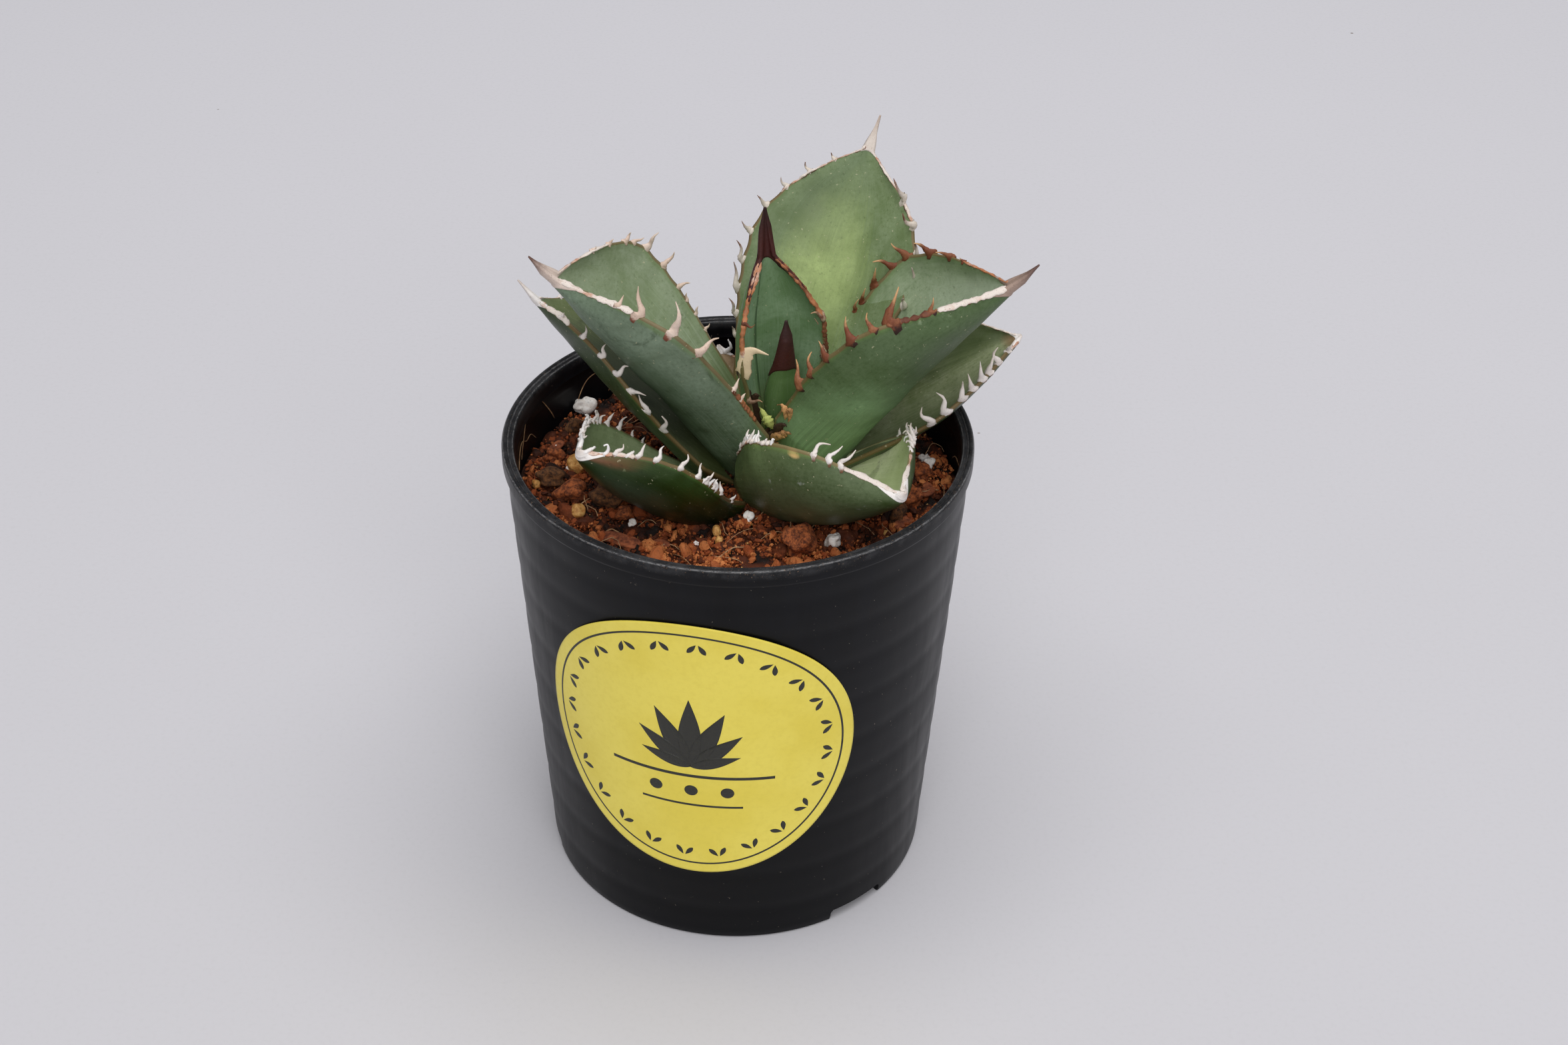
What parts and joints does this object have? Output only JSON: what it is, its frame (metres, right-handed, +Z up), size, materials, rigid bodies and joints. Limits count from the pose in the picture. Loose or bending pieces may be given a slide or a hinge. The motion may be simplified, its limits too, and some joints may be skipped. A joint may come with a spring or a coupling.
{
  "type": "potted agave",
  "caption": "Young agave rosette with toothed, spine-tipped leaves, growing in a tapered round plastic nursery pot filled with granular soil; stands on the pot's foot.",
  "frame": {"origin": "middle of the pot's foot, on the pot's axis, at the height the pot stands on", "axes": "+Z up along the pot's axis, +X to the right of the front, +Y to the back; the front is the side with the round label"},
  "size_m": [0.0996, 0.09, 0.142],
  "materials": {
    "leaf": "satin",
    "leaf_young": "satin",
    "leaf_dry": "matte",
    "crown": "matte",
    "pot": "satin",
    "label": "satin",
    "soil": "matte"
  },
  "bodies": {
    "root": {"leaf_bud": "leaf_young", "leaf_heart": "leaf_young", "leaf_back_large": "leaf", "leaf_right_upper": "leaf", "leaf_left_upper": "leaf", "leaf_right_lower": "leaf", "leaf_left_lower": "leaf", "leaf_front_right": "leaf", "leaf_front_left": "leaf", "leaf_back_dry": "leaf_dry", "pot": "pot", "label": "label", "soil": "soil", "crown": "crown"}
  },
  "joints": []
}
